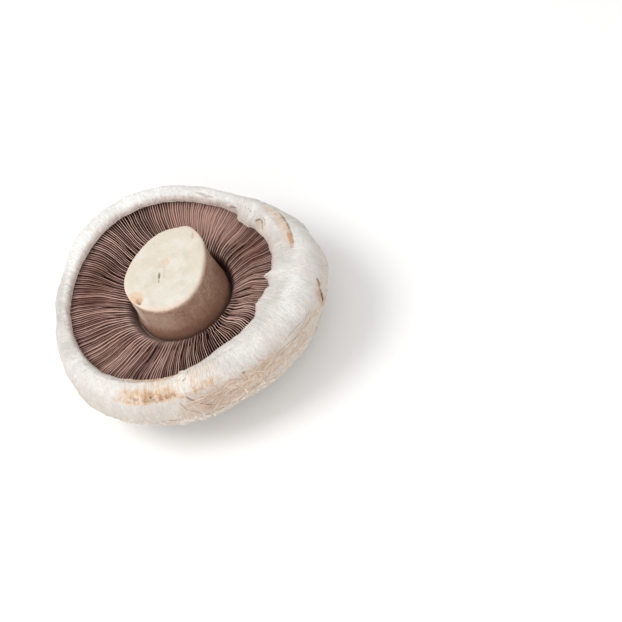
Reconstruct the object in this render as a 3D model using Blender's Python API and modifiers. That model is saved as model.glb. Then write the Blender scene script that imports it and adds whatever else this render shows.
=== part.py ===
# Flat mushroom with an open cap, standing on its crown with the gills up.
# Lengths are in metres and angles in degrees, counted about +Z from +X.
# The origin is the centre of the rest spot on the crown, and +Z runs up the stem.

import math
import random

import bpy
from mathutils import Vector, noise

# Cap: driving dimensions
CAP_RADIUS = 0.050  # mean, at the widest girth
CAP_HEIGHT = 0.038  # from the rest spot to the top of the rim
GIRTH_DEPTH = 0.0099  # from the top of the rim down to the widest girth
REST_RADIUS = 0.012  # flat spot on the crown that carries the mushroom
DOME_EXPONENT = 2.38  # 2 is an ellipse, more is a fuller shoulder
RIM_RADIUS = 0.0432  # top of the rolled rim
LIP_RADIUS = 0.0396  # free edge of the rim, where the gills stop
LIP_DEPTH = 0.0046  # from the top of the rim down to that edge
LIP_THICKNESS = 0.0010
LIP_ROUNDING = 0.0001
OPENING_CENTRE = Vector((-0.0024, 0.0024))  # the opening sits off the cap's middle

# Outlines seen from above: (crests round the outline, angle of one crest, share of the radius)
CAP_LOBES = ((1, -52, 0.014), (2, -37, 0.030), (3, -23, 0.040))
OPENING_LOBES = ((2, 77, 0.006), (3, -41, 0.017))
# Up and down wave of the rim: (crests round the rim, angle of one crest, height)
RIM_WAVES = ((2, -57, 0.0020), (3, -30, 0.0008))
# Torn edge of the lip: (angle, half width in degrees, reach over the gills)
LIP_TATTERS = ((-132, 18, 0.0010), (-83, 20, 0.0022), (-47, 8, 0.0024), (-31, 5, 0.0010), (21, 10, 0.0022))
LUMP_SIZE = 0.017
LUMP_SHARE = 0.025  # of the distance from the axis
WAVE_FOOT = 0.012  # the rim's wave dies out at this height on the outside

# Stem: driving dimensions
STEM_CENTRE = Vector((0.0003, 0.0))
STEM_RADIUS = 0.0175  # at the gills
STEM_TOP_RADIUS = 0.0166  # mean, at the cut
STEM_RISE = 0.0080  # from the top of the rim up to the cut
STEM_TOP_LOBES = ((2, 52, 0.095), (3, 46, 0.036))
STEM_CORNER = (44, 16, 0.0008)  # angle, half width and reach of the cut's blunt corner
STEM_ROOT = 0.016  # height of the stem's lower end in the flesh
CUT_DISH = 0.0006  # the cut is lower by this much in the middle
CUT_BEVEL = 0.0011
STEM_WAIST = 0.99  # of the top radius, between the cut and the gills
DENT_SIZE = 0.009
DENT_DEPTH = 0.0004
DENT_FOOT = 0.004  # the dents fade in over this height above the gills

# Gills: driving dimensions
GILL_PAIRS = 72  # one long and one short gill in each
GILL_THICKNESS = 0.0007
GILL_FLOOR = 0.0013  # flesh left under the deepest groove
GILL_BULGE = 0.0010
GILL_SWAY = 0.0011  # sideways wave that neighbouring gills share
GILL_UNEVENNESS = 0.16  # of the pitch
GROOVE_DEPTHS = (0.0026, 0.0022)  # at the stem and at the lip
GROOVE_BELLY = 0.0036  # the grooves are deeper by this much between the two
SHORT_GILL_START = (0.023, 0.029)  # nearest and furthest start from the stem
SHORT_GILL_RISE = 0.004
SHORT_GILL_SILL = 0.16  # of the thickness, where a short gill is still down in its groove
TROUGH_DEPTH = 0.0097  # from the top of the rim down to the gills beside the stem
GILL_TUCK = 0.0005  # the gills reach this far under the lip
SEAM = 0.0003  # space between neighbouring pieces
SLACK = 0.0001  # widens a seam where the facets of its two sides don't run alike
STEM_GROOVE = 0.0007  # open groove between the stem and the inner ends of the gills

# Fineness of the turned surfaces
CAP_STEPS = 96
STEM_STEPS = 48
GILL_COLUMNS = 3  # a groove line and the two edges of a gill
SEED = 11

GIRTH_HEIGHT = CAP_HEIGHT - GIRTH_DEPTH
LIP_TOP = CAP_HEIGHT - LIP_DEPTH
LIP_UNDERSIDE = LIP_TOP - LIP_THICKNESS
STEM_TOP = CAP_HEIGHT + STEM_RISE
GILL_INNER = STEM_RADIUS + STEM_GROOVE
GILL_OUTER = LIP_RADIUS + GILL_TUCK
STEM_FOOT = CAP_HEIGHT - TROUGH_DEPTH  # where the stem comes out of the gills


def clear_scene():
    for obj in list(bpy.data.objects):
        bpy.data.objects.remove(obj, do_unlink=True)


def smooth_step(value):
    value = min(max(value, 0.0), 1.0)
    return value * value * (3 - 2 * value)


def mix(a, b, share):
    return a + (b - a) * share


def direction(angle):
    return Vector((math.cos(angle), math.sin(angle)))


def lobed(angle, lobes):
    """Share of the radius at this angle, about 1."""
    return 1 + sum(share * math.cos(n * (angle - math.radians(crest))) for n, crest, share in lobes)


def tongue(angle, centre, half_width):
    """1 at the centre angle, falling to 0 at the half width on either side."""
    away = math.degrees(angle) - centre
    away = abs((away + 180) % 360 - 180)
    return 0.5 + 0.5 * math.cos(math.pi * away / half_width) if away < half_width else 0.0


def make_material(name, colour, roughness):
    material = bpy.data.materials.new(name)
    material.use_nodes = True
    shader = material.node_tree.nodes["Principled BSDF"]
    shader.inputs["Base Color"].default_value = (*colour, 1.0)
    shader.inputs["Roughness"].default_value = roughness
    shader.inputs["Metallic"].default_value = 0.0
    return material


def turned(name, stations, steps, closed, material, collection):
    """A profile of (radius, height, outline) stations turned about +Z, as a plain mesh object.

    The outline value stays on every point as the attribute "outline".
    """
    profile = bpy.data.meshes.new(name + "_profile")
    count = len(stations)
    edges = [(i, i + 1) for i in range(count - 1)]
    if closed:
        edges.append((count - 1, 0))
    profile.from_pydata([(radius, 0, height) for radius, height, _ in stations], edges, [])
    marks = profile.attributes.new("outline", "FLOAT", "POINT")
    for mark, station in zip(marks.data, stations):
        mark.value = station[2]
    guide = bpy.data.objects.new(name + "_guide", profile)
    collection.objects.link(guide)
    screw = guide.modifiers.new("Turn", "SCREW")
    screw.axis = "Z"
    screw.angle = math.tau
    screw.steps = steps
    screw.render_steps = steps
    screw.use_merge_vertices = True
    screw.merge_threshold = 0.00001
    bpy.context.view_layer.update()
    mesh = bpy.data.meshes.new_from_object(guide.evaluated_get(bpy.context.evaluated_depsgraph_get()))
    bpy.data.objects.remove(guide, do_unlink=True)
    bpy.data.meshes.remove(profile)
    mesh.name = name
    mesh.materials.clear()
    mesh.materials.append(material)
    obj = bpy.data.objects.new(name, mesh)
    collection.objects.link(obj)
    return obj


def reshape(obj, rule):
    """Moves each point to rule(radius, angle, height, outline)."""
    outlines = obj.data.attributes["outline"].data
    for vertex, outline in zip(obj.data.vertices, outlines):
        x, y, height = vertex.co
        vertex.co = rule(math.hypot(x, y), math.atan2(y, x), height, outline.value)
    obj.data.shade_smooth()
    obj.data.set_sharp_from_angle(angle=math.radians(50))
    obj.data.update()


def cap_outline(radius, angle, outline):
    """Plan position of a cap point: outline 0 is round, 1 follows the opening, 2 the outside."""
    stem = direction(angle) * radius + STEM_CENTRE
    opening = direction(angle) * radius * lobed(angle, OPENING_LOBES) + OPENING_CENTRE
    outside = direction(angle) * radius * lobed(angle, CAP_LOBES)
    if outline <= 1:
        return stem.lerp(opening, outline)
    return opening.lerp(outside, outline - 1)


def lump(point, size, seed):
    return noise.noise(Vector(point) / size + Vector((seed, 0.5 * seed, 0.25 * seed)))


def rim_wave(angle):
    return sum(rise * math.cos(n * (angle - math.radians(crest))) for n, crest, rise in RIM_WAVES)


def gill_top(share):
    """Height of the gill edges, from the stem (0) to the lip (1)."""
    height = mix(STEM_FOOT, LIP_UNDERSIDE - 2 * SEAM, share**0.6)
    return height + GILL_BULGE * math.sin(math.pi * share)


def groove_depth(share):
    return mix(*GROOVE_DEPTHS, share) + GROOVE_BELLY * math.sin(math.pi * share) ** 0.7


def gill_bed(share):
    return gill_top(share) - groove_depth(share) - GILL_FLOOR


def cap_stations():
    """The cap's profile, from the floor of the stem's socket out over the rim to the rest spot."""
    socket_radius = STEM_RADIUS + SEAM + SLACK / 2
    socket_floor = STEM_ROOT - SEAM
    stations = [(0.0, socket_floor, 0.0), (socket_radius, socket_floor, 0.0)]
    for share in (0.0, 0.3, 0.65, 1.0):
        radius = mix(socket_radius, GILL_OUTER + SEAM, share)
        stations.append((radius, gill_bed(share) - SEAM - SLACK, share))
    stations += [
        (GILL_OUTER + SEAM, LIP_UNDERSIDE, 1.0),
        (LIP_RADIUS + LIP_ROUNDING, LIP_UNDERSIDE + LIP_ROUNDING, 1.0),
        (LIP_RADIUS, LIP_TOP, 1.0),
        (mix(LIP_RADIUS, RIM_RADIUS, 0.25), mix(LIP_TOP, CAP_HEIGHT, 0.55), 1.25),
        (mix(LIP_RADIUS, RIM_RADIUS, 0.6), mix(LIP_TOP, CAP_HEIGHT, 0.88), 1.6),
    ]
    for turn in (0, 30, 55, 75):
        swing = math.radians(turn)
        radius = RIM_RADIUS + (CAP_RADIUS - RIM_RADIUS) * math.sin(swing)
        stations.append((radius, GIRTH_HEIGHT + GIRTH_DEPTH * math.cos(swing), 2.0))
    stations += dome_stations()
    stations += [(REST_RADIUS, 0.0, 2.0), (0.0, 0.0, 2.0)]
    return stations


def dome_stations():
    """The crown below the girth: a fuller ellipse that would dip just below the rest spot."""
    spot = (1 - (REST_RADIUS / CAP_RADIUS) ** DOME_EXPONENT) ** (1 / DOME_EXPONENT)
    depth = GIRTH_HEIGHT / spot
    power = 2 / DOME_EXPONENT
    stations = []
    for turn in (0, 14, 27, 39, 50, 60, 69):
        swing = math.radians(turn)
        radius = CAP_RADIUS * math.cos(swing) ** power
        stations.append((radius, GIRTH_HEIGHT - depth * math.sin(swing) ** power, 2.0))
    return stations


def cap_rule(radius, angle, height, outline):
    place = cap_outline(radius, angle, outline)
    on_lip = radius < GILL_OUTER and height > LIP_UNDERSIDE - SEAM
    if on_lip or outline > 1:
        reach = sum(reach * tongue(angle, at, half) for at, half, reach in LIP_TATTERS)
        place -= direction(angle) * reach * smooth_step((1.75 - outline) / 0.75)
    wave = smooth_step(outline)
    if outline == 2:
        wave = smooth_step((height - WAVE_FOOT) / (CAP_HEIGHT - WAVE_FOOT))
        if height > 0:
            place *= 1 + LUMP_SHARE * lump((*place, height), LUMP_SIZE, SEED)
    return (*place, height + wave * rim_wave(angle))


def stem_stations():
    """The stem's profile, from the middle of the cut down the side to its root; outline 1 is the cut's."""
    top = STEM_TOP_RADIUS
    return [
        (0.0, STEM_TOP - CUT_DISH, 1.0),
        (top * 0.45, STEM_TOP - CUT_DISH / 2, 1.0),
        (top * 0.80, STEM_TOP, 1.0),
        (top * 0.95, STEM_TOP - CUT_BEVEL / 5, 1.0),
        (top, STEM_TOP - CUT_BEVEL, 1.0),
        (top * STEM_WAIST, mix(STEM_TOP, STEM_FOOT, 0.3), 0.8),
        (top * STEM_WAIST, mix(STEM_TOP, STEM_FOOT, 0.6), 0.45),
        (mix(top, STEM_RADIUS, 0.6), mix(STEM_TOP, STEM_FOOT, 0.85), 0.15),
        (STEM_RADIUS, STEM_FOOT, 0.0),
        (STEM_RADIUS, STEM_ROOT, 0.0),
        (0.0, STEM_ROOT, 0.0),
    ]


def stem_rule(radius, angle, height, outline):
    centre, half_width, reach = STEM_CORNER
    factor = mix(1.0, lobed(angle, STEM_TOP_LOBES), outline)
    factor += outline * reach / STEM_TOP_RADIUS * tongue(angle, centre, half_width)
    place = direction(angle) * radius * factor + STEM_CENTRE
    if radius > 0.0:
        bare = smooth_step((height - STEM_FOOT) / DENT_FOOT)
        dent = bare * lump((*place, height), DENT_SIZE, SEED + 3)
        place += direction(angle) * DENT_DEPTH * dent
    return (*place, height)


def gill_stations():
    """Closed profile of the gill ring; the outline value is the share of the way to the lip."""
    top = [(share, gill_top(share)) for share in (0.0, 0.07, 0.22, 0.42, 0.62, 0.82, 1.0)]
    bed = [(share, gill_bed(share)) for share in (1.0, 0.65, 0.3, 0.0)]
    return [(mix(GILL_INNER, GILL_OUTER, share), height, share) for share, height in top + bed]


def gill_plan():
    """(angle, start radius) of every gill, long and short in turn, evenly set and a little uneven."""
    draw = random.Random(SEED)
    pitch = math.tau / (2 * GILL_PAIRS)
    gills = []
    for index in range(2 * GILL_PAIRS):
        angle = pitch * (index + GILL_UNEVENNESS * draw.uniform(-1, 1))
        start = draw.uniform(*SHORT_GILL_START)
        gills.append((angle, start if index % 2 else 0.0))
    return gills


def gill_half_width(radius, start):
    full = smooth_step((radius - start) / SHORT_GILL_RISE)
    return mix(SHORT_GILL_SILL, 1.0, full) * GILL_THICKNESS / 2


def gill_rule(gills):
    """Rule that gathers the ring's columns into gills and lowers the grooves between them."""
    columns = GILL_COLUMNS * len(gills)

    def rule(radius, angle, height, outline):
        column = round(angle % math.tau / math.tau * columns) % columns
        index, line = divmod(column, GILL_COLUMNS)
        here, start = gills[index]
        before, start_before = gills[index - 1]
        if index == 0:
            before -= math.tau
        half = gill_half_width(radius, start) / radius
        half_before = gill_half_width(radius, start_before) / radius
        groove = 0.5 * (here - half + before + half_before)
        turn = (groove, here - half, here + half)[line]
        on_top = height > gill_top(outline) - SLACK
        if on_top:
            sway = math.sin(math.pi * outline) * GILL_SWAY / radius
            turn += sway * (math.sin(3 * turn + 5 * outline) + 0.6 * math.sin(7 * turn - 4 * outline))
            grown = smooth_step((radius - start) / SHORT_GILL_RISE) if line else 0.0
            height -= groove_depth(outline) * (1 - grown)
        place = cap_outline(radius, turn, outline)
        return (*place, height + smooth_step(outline) * rim_wave(turn))

    return rule


def main():
    clear_scene()
    collection = bpy.data.collections.new("flat_mushroom")
    bpy.context.scene.collection.children.link(collection)
    skin = make_material("skin", (0.83, 0.78, 0.72), 0.62)
    brown = make_material("gill_flesh", (0.24, 0.15, 0.12), 0.8)
    flesh = make_material("stem_flesh", (0.72, 0.63, 0.52), 0.7)

    cap = turned("cap", cap_stations(), CAP_STEPS, False, skin, collection)
    reshape(cap, cap_rule)
    stem = turned("stem", stem_stations(), STEM_STEPS, False, flesh, collection)
    reshape(stem, stem_rule)
    gills = gill_plan()
    steps = GILL_COLUMNS * len(gills)
    hymenium = turned("gills", gill_stations(), steps, True, brown, collection)
    reshape(hymenium, gill_rule(gills))


main()
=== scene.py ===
import math
import random

import bpy
import numpy as np
from mathutils import Matrix, Vector, noise
from mathutils.bvhtree import BVHTree


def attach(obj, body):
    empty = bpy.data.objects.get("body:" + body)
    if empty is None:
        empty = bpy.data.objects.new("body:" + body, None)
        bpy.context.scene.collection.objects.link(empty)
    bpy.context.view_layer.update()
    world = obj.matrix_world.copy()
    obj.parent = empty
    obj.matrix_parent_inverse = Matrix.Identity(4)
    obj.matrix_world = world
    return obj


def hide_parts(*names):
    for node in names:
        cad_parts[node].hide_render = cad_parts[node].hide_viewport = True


# Flat mushroom standing on its crown with the gills up.
# Lengths are in metres, angles in degrees counted about +Z from +X.

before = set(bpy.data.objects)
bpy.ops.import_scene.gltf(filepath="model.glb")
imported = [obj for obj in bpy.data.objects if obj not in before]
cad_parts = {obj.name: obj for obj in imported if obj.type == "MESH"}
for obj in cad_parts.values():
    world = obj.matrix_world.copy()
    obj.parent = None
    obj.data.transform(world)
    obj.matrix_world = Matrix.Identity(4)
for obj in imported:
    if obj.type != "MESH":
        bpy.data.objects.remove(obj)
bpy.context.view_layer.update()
print("frame loaded:", ", ".join(sorted(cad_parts)))


# Numbers and noise on whole arrays

def smoothStep(value):
    value = np.clip(value, 0.0, 1.0)
    return value * value * (3 - 2 * value)


def mix(a, b, share):
    return a + (b - a) * share


def lobed(angle, lobes):  # share of the radius; each lobe is (crests, angle of one crest, share)
    return 1 + sum(share * np.cos(n * (angle - math.radians(crest))) for n, crest, share in lobes)


def turnFrom(angle, centre):  # degrees away from the centre angle, -180 to 180
    return (np.degrees(angle) - centre + 180) % 360 - 180


def tongue(angle, centre, reach):  # 1 at the centre angle, 0 at the reach on either side
    share = np.minimum(np.abs(turnFrom(angle, centre)) / reach, 1)
    return np.where(share < 1, 0.5 + 0.5 * np.cos(np.pi * share), 0.0)


def grain(points, size, seed):  # smooth noise of about -1 to 1, one value for each point
    shift = Vector((seed, 0.5 * seed, 0.25 * seed))
    flat = (points / size).reshape(-1, 3)
    return np.array([noise.noise(Vector(p) + shift) for p in flat]).reshape(points.shape[:-1])


def grains(points, layers):  # noise of several (height, size, seed) added up
    return sum(high * grain(points, size, seed) for high, size, seed in layers)


def xyz(*parts):
    return np.stack(np.broadcast_arrays(*parts), axis=-1)


def turnsRound(count):
    return np.linspace(-math.pi, math.pi, count, endpoint=False)[None, :]


def around(angle, radius, level):  # places for noise on a tube round the axis
    return xyz(np.cos(angle) * radius, np.sin(angle) * radius, level)


def strokeNear(points, stroke):  # 1 on the stroke's line, 0 at its width and beyond
    start, end = np.array(stroke["start"]), np.array(stroke["end"])
    run = end - start
    share = np.clip(((points - start) @ run) / (run @ run), 0, 1)
    gap = np.linalg.norm(points - start - share[..., None] * run, axis=-1)
    return smoothStep(1 - gap / stroke["width"])


def named(keys, rows):  # each row of values under its own keys
    return {name: dict(zip(keys, row)) for name, row in rows.items()}


def bandNear(angle, level, band):  # 1 inside a patch given by an angle and a height or radius
    turn = np.abs(turnFrom(angle, band["angle"])) / band["spread"]
    high = np.abs(level - band["level"]) / band["reach"]
    return smoothStep((1 - (turn**3 + high**3) ** (1 / 3)) / band["softness"])


# Meshes

def meshObject(name, points, faces, material, sharp=50):
    mesh = bpy.data.meshes.new(name)
    mesh.from_pydata(points.tolist(), [], faces)
    mesh.materials.append(material)
    mesh.shade_smooth()
    mesh.set_sharp_from_angle(angle=math.radians(sharp))
    obj = bpy.data.objects.new(name, mesh)
    bpy.context.scene.collection.objects.link(obj)
    return obj


def setMark(obj, name, values):  # a value on every point, for the material to read
    marks = obj.data.attributes.new(name, "FLOAT", "POINT")
    marks.data.foreach_set("value", np.ascontiguousarray(values, dtype=np.float32).ravel())


def ringFaces(rowCount, columnCount, closed=False):
    index = np.arange(rowCount * columnCount).reshape(rowCount, columnCount)
    if closed:
        index = np.vstack([index, index[:1]])
    right = np.roll(index, -1, axis=1)
    return np.stack([index[:-1], index[1:], right[1:], right[:-1]], axis=-1).reshape(-1, 4).tolist()


def turnedObject(name, grid, startHeight, endHeight, material):
    # grid[row, column] runs from the inside out; a point on the axis closes each end
    rowCount, columnCount = grid.shape[:2]
    faces = ringFaces(rowCount, columnCount)
    startPole, endPole = rowCount * columnCount, rowCount * columnCount + 1
    last = startPole - columnCount
    for column in range(columnCount):
        following = (column + 1) % columnCount
        faces.append((startPole, column, following))
        faces.append((endPole, last + following, last + column))
    startMiddle, endMiddle = grid[0].mean(axis=0), grid[-1].mean(axis=0)
    poles = np.array([(*startMiddle[:2], startHeight), (*endMiddle[:2], endHeight)])
    return meshObject(name, np.vstack([grid.reshape(-1, 3), poles]), faces, material)


def gridNormals(grid):
    across = np.roll(grid, -1, axis=1) - np.roll(grid, 1, axis=1)
    normal = np.cross(np.gradient(grid, axis=0), across)
    return normal / np.maximum(np.linalg.norm(normal, axis=-1, keepdims=True), 1e-12)


def smoothRun(stations, steps):  # Catmull-Rom through the stations, first and last ones excluded
    stations = np.array(stations, float)
    run = []
    for a, b, c, d in zip(stations, stations[1:], stations[2:], stations[3:]):
        for step in range(steps):
            t = step / steps
            run.append(0.5 * (2 * b + (c - a) * t + (2 * a - 5 * b + 4 * c - d) * t**2
                              + (3 * b - a - 3 * c + d) * t**3))
    return run


# Node helpers

def feed(tree, socket, value):
    if isinstance(value, bpy.types.NodeSocket):
        tree.links.new(value, socket)
    else:
        socket.default_value = value


def feedAll(tree, node, inputs):
    for key, value in inputs.items():
        feed(tree, node.inputs[key], value)


def addNode(tree, kind, inputs=None, **settings):
    made = tree.nodes.new(kind)
    for key, value in settings.items():
        setattr(made, key, value)
    feedAll(tree, made, inputs or {})
    return made


def calc(tree, operation, *values):
    return addNode(tree, "ShaderNodeMath", dict(enumerate(values)), operation=operation).outputs[0]


def vectorCalc(tree, operation, *values):
    made = addNode(tree, "ShaderNodeVectorMath", dict(enumerate(values)), operation=operation)
    return made.outputs["Value" if operation in ("LENGTH", "DOT_PRODUCT") else "Vector"]


def ramp(tree, value, low, high, toLow=0.0, toHigh=1.0, smooth=True):
    return addNode(tree, "ShaderNodeMapRange", {
        "Value": value, "From Min": low, "From Max": high, "To Min": toLow, "To Max": toHigh},
        interpolation_type="SMOOTHSTEP" if smooth else "LINEAR").outputs["Result"]


def tint(tree, share, colour, other, mode="MIX"):
    values = {0: share, 6: colour, 7: other}
    values = {key: (*value, 1.0) if isinstance(value, tuple) else value for key, value in values.items()}
    return addNode(tree, "ShaderNodeMix", values, data_type="RGBA", blend_type=mode,
                   clamp_factor=True).outputs[2]


def newGroup(name, inputs, outputs):
    group = bpy.data.node_groups.new(name, "ShaderNodeTree")
    for label, value in inputs.items():
        kind = "NodeSocketVector" if isinstance(value, tuple) else "NodeSocketFloat"
        group.interface.new_socket(label, in_out="INPUT", socket_type=kind).default_value = value
    for label in outputs:
        group.interface.new_socket(label, in_out="OUTPUT", socket_type="NodeSocketFloat")
    return group, group.nodes.new("NodeGroupInput").outputs, group.nodes.new("NodeGroupOutput").inputs


def place(tree, group, **values):  # a group in a material; camelCase words stand for its labels
    made = tree.nodes.new("ShaderNodeGroup")
    made.node_tree = group
    for key, value in values.items():
        label = "".join(" " + letter if letter.isupper() else letter for letter in key).title()
        feed(tree, made.inputs[label], value)
    return made.outputs


def mark(tree, name):
    return addNode(tree, "ShaderNodeAttribute", attribute_name=name).outputs["Fac"]


def objectPoint(tree):
    return addNode(tree, "ShaderNodeTexCoord").outputs["Object"]


def strayed(tree, point, scale, detail, amount):  # the point, moved about by noise
    stray = addNode(tree, "ShaderNodeTexNoise", {"Vector": point, "Scale": scale, "Detail": detail})
    stray = vectorCalc(tree, "SUBTRACT", stray.outputs["Color"], (0.5, 0.5, 0.5))
    return vectorCalc(tree, "MULTIPLY_ADD", stray, amount, point)


def bumped(tree, height, strength, distance):
    return addNode(tree, "ShaderNodeBump", {"Height": height, "Strength": strength,
                                            "Distance": distance}).outputs["Normal"]


def newMaterial(name):
    material = bpy.data.materials.new(name)
    material.use_nodes = True
    return material, material.node_tree, material.node_tree.nodes["Principled BSDF"]


# Shared effects

def makeWhereGroup():  # turn round the axis, distance from it and height, of the shaded point
    group, _, out = newGroup("where", {}, ("Turn", "Radius", "Height"))
    point = objectPoint(group)
    x, y, z = addNode(group, "ShaderNodeSeparateXYZ", {0: point}).outputs
    feed(group, out["Turn"], calc(group, "DEGREES", calc(group, "ARCTAN2", y, x)))
    feed(group, out["Radius"], vectorCalc(group, "LENGTH", vectorCalc(group, "MULTIPLY", point, (1, 1, 0))))
    feed(group, out["Height"], z)
    return group


def makeMottleGroup():  # soft patches of a given size
    group, given, out = newGroup("mottle", {"Size": 0.01, "Low": 0.4, "High": 0.6, "Seed": 0.0}, ("Mask",))
    point = objectPoint(group)
    scale = calc(group, "DIVIDE", 1.0, given["Size"])
    cloud = addNode(group, "ShaderNodeTexNoise", {"Vector": point, "W": given["Seed"], "Scale": scale,
                                                  "Detail": 3.0, "Roughness": 0.55},
                    noise_dimensions="4D")
    feed(group, out["Mask"], ramp(group, cloud.outputs["Fac"], given["Low"], given["High"]))
    return group


def makeFibreGroup():  # streaks that run out from the stem and down the side; count is per turn
    group, given, out = newGroup("fibre", {"Along": 0.0, "Count": 400.0, "Length": 0.006, "Bend": 0.0,
                                           "Seed": 0.0}, ("Streak", "Fine", "Line"))
    bent = strayed(group, objectPoint(group), 70.0, 1.0, given["Bend"])
    flat = vectorCalc(group, "NORMALIZE", vectorCalc(group, "MULTIPLY", bent, (1, 1, 0)))
    width = calc(group, "DIVIDE", given["Count"], math.tau)
    level = calc(group, "DIVIDE", given["Along"], given["Length"])
    ring = vectorCalc(group, "MULTIPLY", flat, addNode(
        group, "ShaderNodeCombineXYZ", {0: width, 1: width, 2: 1.0}).outputs[0])
    spot = vectorCalc(group, "ADD", ring, addNode(group, "ShaderNodeCombineXYZ", {2: level}).outputs[0])
    for label, scale in (("Streak", 1.0), ("Fine", 2.7)):
        streak = addNode(group, "ShaderNodeTexNoise", {"Vector": spot, "W": given["Seed"], "Scale": scale,
                                                       "Detail": 2.0}, noise_dimensions="4D")
        feed(group, out[label], ramp(group, streak.outputs["Fac"], 0.3, 0.7))
    off = calc(group, "ABSOLUTE", calc(group, "SUBTRACT", streak.outputs["Fac"], 0.5))
    feed(group, out["Line"], ramp(group, off, 0.05, 0.0))
    return group


def makeSpeckGroup():  # small round spots in some of the cells of a given size
    group, given, out = newGroup("speck", {"Size": 0.003, "Share": 0.3, "Spot": 0.2}, ("Mask",))
    point = objectPoint(group)
    scale = calc(group, "DIVIDE", 1.0, given["Size"])
    cell = addNode(group, "ShaderNodeTexVoronoi", {"Vector": point, "Scale": scale})
    chosen = addNode(group, "ShaderNodeSeparateXYZ", {0: cell.outputs["Color"]}).outputs[0]
    chosen = calc(group, "LESS_THAN", chosen, given["Share"])
    spot = ramp(group, calc(group, "DIVIDE", cell.outputs["Distance"], given["Spot"]), 1.0, 0.5)
    feed(group, out["Mask"], calc(group, "MULTIPLY", spot, chosen))
    return group


def makeBandGroup():  # a patch set by a turn and a level, with a ragged edge
    group, given, out = newGroup("band", {"Turn": 0.0, "Level": 0.0, "At Turn": 0.0, "Half Turn": 10.0,
                                          "At Level": 0.0, "Half Level": 0.003, "Softness": 0.3,
                                          "Ragged": 0.4, "Grain Size": 0.002}, ("Mask",))
    point = objectPoint(group)
    away = calc(group, "ADD", calc(group, "SUBTRACT", given["Turn"], given["At Turn"]), 540.0)
    away = calc(group, "SUBTRACT", calc(group, "FLOORED_MODULO", away, 360.0), 180.0)
    away = calc(group, "DIVIDE", calc(group, "ABSOLUTE", away), given["Half Turn"])
    high = calc(group, "ABSOLUTE", calc(group, "SUBTRACT", given["Level"], given["At Level"]))
    high = calc(group, "DIVIDE", high, given["Half Level"])
    far = calc(group, "ADD", calc(group, "POWER", away, 3.0), calc(group, "POWER", high, 3.0))
    far = calc(group, "POWER", far, 1 / 3)
    rough = addNode(group, "ShaderNodeTexNoise", {
        "Vector": point, "Scale": calc(group, "DIVIDE", 1.0, given["Grain Size"]), "Detail": 3.0})
    rough = calc(group, "SUBTRACT", rough.outputs["Fac"], 0.5)
    far = calc(group, "MULTIPLY_ADD", rough, given["Ragged"], far)
    inner = calc(group, "SUBTRACT", 1.0, given["Softness"])
    feed(group, out["Mask"], ramp(group, far, 1.0, inner))
    return group


def makeStrokeGroup():  # a line between two points, thinner to its ends and a little wandering
    group, given, out = newGroup("stroke", {"Start": (0.0, 0.0, 0.0), "End": (0.0, 0.0, 0.01),
                                            "Width": 0.0005, "Wander": 0.001}, ("Mask",))
    point = strayed(group, objectPoint(group), 300.0, 2.0, given["Wander"])
    run = vectorCalc(group, "SUBTRACT", given["End"], given["Start"])
    gone = vectorCalc(group, "SUBTRACT", point, given["Start"])
    share = calc(group, "DIVIDE", vectorCalc(group, "DOT_PRODUCT", gone, run),
                 vectorCalc(group, "DOT_PRODUCT", run, run))
    share = addNode(group, "ShaderNodeClamp", {0: share}).outputs[0]
    gap = vectorCalc(group, "LENGTH", vectorCalc(
        group, "SUBTRACT", gone, vectorCalc(group, "MULTIPLY", run, share)))
    taper = calc(group, "MULTIPLY", calc(group, "MULTIPLY", share, calc(group, "SUBTRACT", 1.0, share)), 4.0)
    width = calc(group, "MULTIPLY", given["Width"], calc(group, "SQRT", calc(group, "ADD", taper, 0.04)))
    feed(group, out["Mask"], ramp(group, calc(group, "DIVIDE", gap, width), 1.0, 0.35))
    return group


where = makeWhereGroup()
mottle = makeMottleGroup()
fibre = makeFibreGroup()
band = makeBandGroup()
stroke = makeStrokeGroup()
speck = makeSpeckGroup()


def times(tree, *values):
    product = values[0]
    for value in values[1:]:
        product = calc(tree, "MULTIPLY", product, value)
    return product


# Masks by name. A cloud is (size, low, high, seed), a set of fibres (count a turn, length, bend, seed).

def cloudMasks(tree, clouds):
    keys = ("size", "low", "high", "seed")
    return {name: place(tree, mottle, **dict(zip(keys, cloud)))["Mask"] for name, cloud in clouds.items()}


def fibreMasks(tree, fibres, along):  # along has the value that grows along each set
    keys = ("count", "length", "bend", "seed")
    return {name + socket.name: socket for name, spec in fibres.items()
            for socket in place(tree, fibre, along=along[name], **dict(zip(keys, spec)))}


def bandMasks(tree, bands, at, level, ragged=0.8):
    return {name: place(tree, band, turn=at["Turn"], level=at[level], atTurn=float(spec["angle"]),
                        halfTurn=float(spec["spread"]), atLevel=spec["level"], halfLevel=spec["reach"],
                        softness=spec["softness"], ragged=ragged)["Mask"] for name, spec in bands.items()}


def factor(tree, masks, part):  # a number, a mask's name, or (name, low, high) for a mask from low to high
    if isinstance(part, tuple):
        name, low, high = part
        return calc(tree, "MULTIPLY_ADD", masks[name], high - low, low)
    return masks[part] if isinstance(part, str) else part


def paint(tree, shades, masks, colour, layers, mode="MIX"):
    # lays shades over the colour, first to last; a layer is a shade and the factors of its share
    for shade, *parts in layers:
        share = times(tree, *(factor(tree, masks, part) for part in parts))
        colour = tint(tree, share, colour, shades[shade], mode)
    return colour


def drawn(tree, shades, colour, marks, wander):  # strokes over the colour, down to the floor of their cuts
    for spec in marks:
        if spec["share"] > 0:
            mask = place(tree, stroke, start=spec["start"], end=spec["end"],
                         width=spec["width"] + max(spec["depth"], 0.0), wander=wander)["Mask"]
            colour = tint(tree, times(tree, mask, spec["share"]), colour, shades[spec["shade"]])
    return colour


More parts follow.
